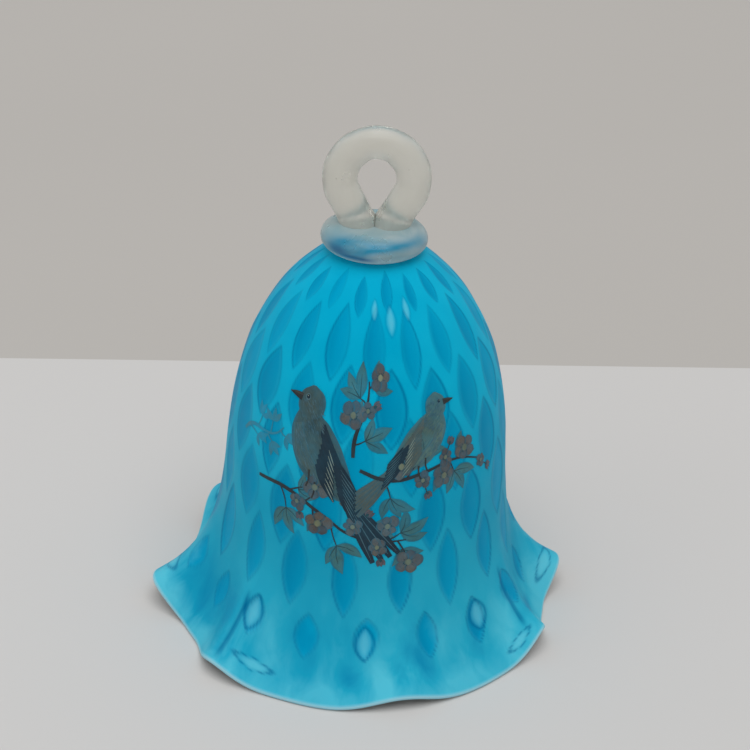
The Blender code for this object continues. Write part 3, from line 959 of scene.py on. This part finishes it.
# Patches of painted refraction, the body's blue as seen through the collar, as (azimuth, share of the height,
# half width in degrees, half height)
REFRACTED_BLUE_PATCHES = [
    (-24, 0.80, 30, 0.34), (-34, 0.45, 26, 0.30), (24, 0.80, 40, 0.16), (100, 0.6, 40, 0.3),
    (205, 0.5, 60, 0.3),
]
# Deeper patches of the same painted refraction
REFRACTED_DEEP_PATCHES = [(-40, 0.50, 12, 0.16), (-8, 0.30, 14, 0.09), (-22, 0.34, 12, 0.10), (150, 0.4, 24, 0.16)]


def build_collar():
    """The crystal wafer: a blunt edge, slightly uneven, a little flattened at the back."""
    half = (COLLAR_TOP - COLLAR_LOW) / 2
    middle = (COLLAR_TOP + COLLAR_LOW) / 2
    profile = []
    for i in range(41):
        a = math.pi * (0.5 - i / 40)
        blunt = math.copysign(abs(math.cos(a)) ** 0.88, math.cos(a))
        profile.append((COLLAR_CORE_R + (COLLAR_R - COLLAR_CORE_R) * blunt, middle + half * math.sin(a)))
    profile = [(AXIS, COLLAR_TOP), (6.0, COLLAR_TOP), *profile, (6.0, COLLAR_LOW), (AXIS, COLLAR_LOW)]
    verts, faces = lathe(profile, 128)
    verts = np.array(verts)
    a = np.arctan2(verts[:, 0], -verts[:, 1])
    radius = np.hypot(verts[:, 0], verts[:, 1])
    rim = np.clip((radius - 10) / 6, 0, 1)
    uneven = 1 + rim * (0.010 * np.sin(2 * a + 0.5) + 0.006 * np.sin(5 * a + 1.1))
    verts[:, 0] *= uneven
    verts[:, 1] *= uneven
    verts[:, 2] += rim * (0.18 * np.sin(2 * a + 1.9) + 0.10 * np.sin(3 * a))
    verts[:, 0] += HANDLE_X
    azimuth = np.degrees(a)
    share = (verts[:, 2] - COLLAR_LOW) / (COLLAR_TOP - COLLAR_LOW)
    back = np.clip(verts[:, 1] / COLLAR_R, 0, 1)
    verts[:, 1] *= 1 - 0.12 * back
    verts[:, 2] -= 1.0 * back * np.clip(share * 1.5 - 0.3, 0, 1)

    def patch(around, up, wide, tall):
        off = off_to(azimuth, around)
        return np.exp(-((off / wide) ** 2) - ((share - up) / tall) ** 2) * rim

    # painted refraction: the blue body as seen through the collar, pale and deep
    refracted_blue = np.clip(sum(patch(*spot) for spot in REFRACTED_BLUE_PATCHES), 0, 1)
    deep = np.clip(sum(patch(*spot) for spot in REFRACTED_DEEP_PATCHES), 0, 1)
    # white along the lower edge and at the sides: partly the crystal's frost, partly a painted highlight
    sill = 0.30 + 0.05 * np.sin(2 * a + 0.8) + 0.03 * np.sin(5 * a)
    frost_and_highlight = np.clip(1.25 - share / sill, 0, 1)
    side = np.clip((np.abs(azimuth + 4) - 66) / 20, 0, 1) * np.clip((120 - np.abs(azimuth)) / 30, 0, 1)
    frost_and_highlight = np.clip(frost_and_highlight + 0.55 * side * np.clip(rim * 1.6 - 0.3, 0, 1), 0, 1)
    attributes = {"refracted_blue": refracted_blue, "deep": deep, "frost_and_highlight": frost_and_highlight}
    obj = weld(new_object("crystal_collar", verts, faces, attributes), 0.05)
    finish(obj, crystal_painted_refraction())
    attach(obj, "bell")
    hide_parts("neck_collar")


def build_handle(crystal):
    """The bent crystal rod, its legs fused where they meet and flared where they sit on the collar."""
    lean = math.radians(LEG_LEAN)
    over = [math.radians(98 - (98 + LEG_LEAN) * i / 60) for i in range(61)]
    thin = [0.35 * max(0.0, math.sin(t)) ** 4 for t in over]
    path = []
    for t, d in zip(over, thin):
        path.append(((LOOP_R + d) * math.cos(t), 0.0, LOOP_Z + (LOOP_R + d) * math.sin(t)))
    last = path[-1]
    low = COLLAR_TOP - 0.15
    length = (last[2] - low) / math.cos(lean) + ROD_R
    steps = 24
    for i in range(1, steps + 1):
        run = length * i / steps
        path.append((last[0] - math.sin(lean) * run, 0.0, last[2] - math.cos(lean) * run))
    thin += [0.0] * steps
    radii = [(ROD_R - d) * (1 + 0.012 * math.sin(0.35 * i)) for i, d in enumerate(thin)]
    sides = 40
    verts, faces = tube(path, radii, sides)
    turn = np.tile(np.arange(sides) / sides * 2 * math.pi, len(path))
    run = np.repeat(np.linspace(0, 1, len(path)), sides)
    rod = new_object("rod", verts, faces, {"turn_x": np.cos(turn), "turn_y": np.sin(turn), "run": run})
    shape = bmesh.new()
    shape.from_mesh(rod.data)

    def everything():
        return [*shape.verts, *shape.edges, *shape.faces]

    def cut(point, away):
        plane = {"plane_co": point, "plane_no": away}
        return bmesh.ops.bisect_plane(shape, geom=everything(), clear_outer=True, **plane)

    foot = cut(Vector((0, 0, low * MM)), (0, 0, -1))["geom_cut"]
    rim = [edge for edge in foot if isinstance(edge, bmesh.types.BMEdge)]
    bmesh.ops.contextual_create(shape, geom=rim)
    cut((0, 0, 0), (-1, 0, 0))
    bmesh.ops.mirror(shape, geom=everything(), axis="X", merge_dist=0.01 * MM)
    bmesh.ops.recalc_face_normals(shape, faces=shape.faces)
    for vertex in shape.verts:
        x, y, z = vertex.co / MM
        flare = math.exp(-((z - low) / 1.6) ** 2)
        vertex.co = Vector((HANDLE_X + x * (1 + 0.02 * flare), y * (1 + 0.20 * flare), z)) * MM
    mesh = bpy.data.meshes.new("crystal_loop")
    shape.to_mesh(mesh)
    shape.free()
    places = [v.co / MM for v in mesh.vertices]
    seam = [math.exp(-(((co.x - HANDLE_X) / 0.4) ** 2)) * (co.z < LOOP_Z - 8) for co in places]
    mesh.attributes.new("seam", "FLOAT", "POINT").data.foreach_set("value", seam)
    bpy.data.objects.remove(rod)
    mesh.shade_smooth()
    mesh.set_sharp_from_angle(angle=math.radians(50))
    obj = bpy.data.objects.new("crystal_loop", mesh)
    bpy.context.scene.collection.objects.link(obj)
    finish(obj, crystal)
    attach(obj, "bell")
    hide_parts("loop_handle")


# ---------------------------------------------------------------- hanger, chain and clapper

EYE_R, EYE_Z, WIRE_R = 2.4, 117.6, 0.6
PLUG_R, PLUG_DROP = 9.0, 5.0
SOCKET_R, SOCKET_DEPTH = 0.95, 3.9  # of the hole in the plug that the eye's shank sits in
LINK_HALF_W, LINK_LENGTH, HOOKED, PITCH, LINKS = 2.2, 10.95, 1.35, 9.6, 7
PIN_R, PIN_LOOP_R, BEAD_R = 0.5, 1.8, 7.5


def build_hanger(metal):
    """The cement plug and the wire eye set in it."""
    top = CROWN_Z - WALL - GAP
    low = top - PLUG_DROP
    reach, sag = PLUG_R - SOCKET_R, PLUG_DROP - 1
    dome = [(SOCKET_R + reach * x, top - 1 - sag * z) for x, z in arc_points(1, 0, 90, 19)]
    socket = low + SOCKET_DEPTH
    profile = [(AXIS, top), (8.4, top), (8.9, top - 0.3), *dome, (SOCKET_R, socket), (AXIS, socket)]
    verts, faces = lathe(profile, 72)
    verts = np.array(verts)
    a = np.arctan2(verts[:, 0], -verts[:, 1])
    lump = 0.25 * np.sin(3 * a + 1) + 0.15 * np.sin(7 * a)
    outer = np.clip((np.hypot(verts[:, 0], verts[:, 1]) - 3) / 4, 0, 1) * (verts[:, 2] < top - 0.5)
    verts[:, 2] += lump * outer * 0.6
    plug = finish(weld(new_object("cement_button", verts, faces), 0.02), cement())
    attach(plug, "bell")
    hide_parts("cement_plug")

    shank = [(0, 0, EYE_Z + 8.1 - 4.8 * i / 6) for i in range(7)]
    ring = [(x, 0, EYE_Z + z) for x, z in arc_points(EYE_R, 118, 290, 40)]
    verts, faces = tube(shank + ring, WIRE_R, 16)
    eye = finish(new_object("wire_eye", verts, faces), metal)
    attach(eye, "bell")
    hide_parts("hanger_eye")


def build_chain(metal):
    """The links, each a soldered oval of wire a quarter turn from the one above."""
    high = HOOKED - LINK_HALF_W
    low = HOOKED - LINK_LENGTH + LINK_HALF_W
    loop = []
    for centre, start in ((high, 0), (low, 180)):
        loop += [(x, centre + z) for x, z in arc_points(LINK_HALF_W, start, 180, 18)]
    for n in range(LINKS):
        pivot = EYE_Z - EYE_R - n * PITCH
        if n % 2 == 0:
            path = [(0.0, x, pivot + z) for x, z in loop]
        else:
            path = [(x, 0.0, pivot + z) for x, z in loop]
        radii = [WIRE_R * (1.08 if 16 <= i <= 19 else 1.0) for i in range(len(path))]
        verts, faces = tube(path, radii, 14, closed=True)
        link = finish(new_object(f"link_{n + 1}_wire", verts, faces), metal)
        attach(link, f"link_{n + 1}")
        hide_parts(f"chain_link_{n + 1}")


def build_clapper(metal):
    """The headed wire and the glass bead it holds."""
    pivot = EYE_Z - EYE_R - LINKS * PITCH
    loop_z = pivot + WIRE_R + PIN_R + 0.15 - PIN_LOOP_R
    bead_z = loop_z - PIN_LOOP_R - 1.0 - BEAD_R
    path = [(x, 0, loop_z + z) for x, z in arc_points(PIN_LOOP_R, 228, -290, 40)]
    radii = [PIN_R] * len(path)
    neck, head = loop_z - PIN_LOOP_R - 0.9, bead_z - BEAD_R - 0.3
    for z, share in ((neck, 1), (bead_z, 1), (head + 0.1, 1), (head, 1.2), (head - 0.15, 2.4),
                     (head - 0.5, 2.8), (head - 0.8, 2.4), (head - 1.0, 1.2)):
        path.append((0, 0, z))
        radii.append(PIN_R * share)
    verts, faces = tube(path, radii, 16)
    pin = finish(new_object("headed_pin", verts, faces), metal)
    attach(pin, "clapper")
    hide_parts("clapper_pin")

    hole = math.asin(0.8 / BEAD_R)
    profile = []
    for i in range(49):
        a = math.pi / 2 - hole - (math.pi - 2 * hole) * i / 48
        profile.append((BEAD_R * math.cos(a), bead_z + BEAD_R * math.sin(a)))
    profile.append(profile[0])
    verts, faces = lathe(profile, 72)
    bead = finish(weld(new_object("glass_bead", verts, faces)), bead_glass())
    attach(bead, "clapper")
    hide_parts("clapper_bead")


# ---------------------------------------------------------------- stage


SEAM_Y, SEAM_TURN = 0.1634, 4.5  # where the pale table ends behind the bell, in metres and degrees
FLOOR = 6.0  # metres


def build_stage():
    """A pale table and the greyer floor behind it, soft lights, and the camera."""
    scene = bpy.context.scene
    turn = math.radians(SEAM_TURN)

    def plain(name, colour, side):
        made = Nodes(name, Roughness=0.8)
        made.set("Base Color", made.mix(made.noise(3.0, 4.0), colour, [c - 4 for c in colour]))
        made.set("Specular IOR Level", 0.2)
        made.bump(made.noise(350, 3.0), 0.05, 0.1)
        place = (-math.sin(turn) * side * FLOOR / 2, SEAM_Y + math.cos(turn) * side * FLOOR / 2, -0.0001)
        bpy.ops.mesh.primitive_grid_add(x_subdivisions=4, y_subdivisions=4, size=FLOOR, location=place,
                                        rotation=(0, 0, turn))
        obj = bpy.context.object
        obj.name = name
        obj.data.materials.append(made.material)

    plain("table", (207, 206, 205), -1)
    plain("floor_behind", (187, 184, 180), 1)

    world = bpy.data.worlds.new("studio")
    world.use_nodes = True
    background = world.node_tree.nodes["Background"]
    background.inputs["Color"].default_value = (1.0, 0.985, 0.97, 1.0)
    background.inputs["Strength"].default_value = 0.45
    scene.world = world
    scene.view_settings.view_transform = "Standard"

    def lamp(name, kind, place, aim, energy, **settings):
        data = bpy.data.lights.new(name, kind)
        data.energy = energy
        for key, value in settings.items():
            setattr(data, key, value)
        obj = bpy.data.objects.new(name, data)
        obj.location = place
        obj.rotation_euler = (Vector(aim) - Vector(place)).to_track_quat("-Z", "Y").to_euler()
        scene.collection.objects.link(obj)

    lamp("overhead", "SUN", (0.02, -0.25, 0.95), (0, 0, 0.05), 1.6, angle=math.radians(55))
    lamp("left", "AREA", (-0.75, -0.45, 0.55), (0, 0, 0.07), 0.6, size=0.55)

    distance, pitch, aim_z = 550.0, math.radians(29), 84.7
    yaw, roll = math.radians(0.20), math.radians(3.03)
    eye = Vector((0, -distance * math.cos(pitch), aim_z + distance * math.sin(pitch))) * MM
    ahead = Vector((math.sin(yaw) * math.cos(pitch), math.cos(yaw) * math.cos(pitch), -math.sin(pitch)))
    camera = bpy.data.objects.new("camera", bpy.data.cameras.new("camera"))
    camera.data.lens = 81.3
    camera.data.sensor_width = 36.0
    level = ahead.to_track_quat("-Z", "Y").to_matrix().to_4x4()
    camera.matrix_world = Matrix.Translation(eye) @ level @ Matrix.Rotation(roll, 4, "Z")
    scene.collection.objects.link(camera)
    scene.camera = camera


def main():
    build_body()
    build_decoration()
    crystal = frosted_crystal()
    build_collar()
    build_handle(crystal)
    metal = wire_metal()
    build_hanger(metal)
    build_chain(metal)
    build_clapper(metal)
    build_stage()


main()
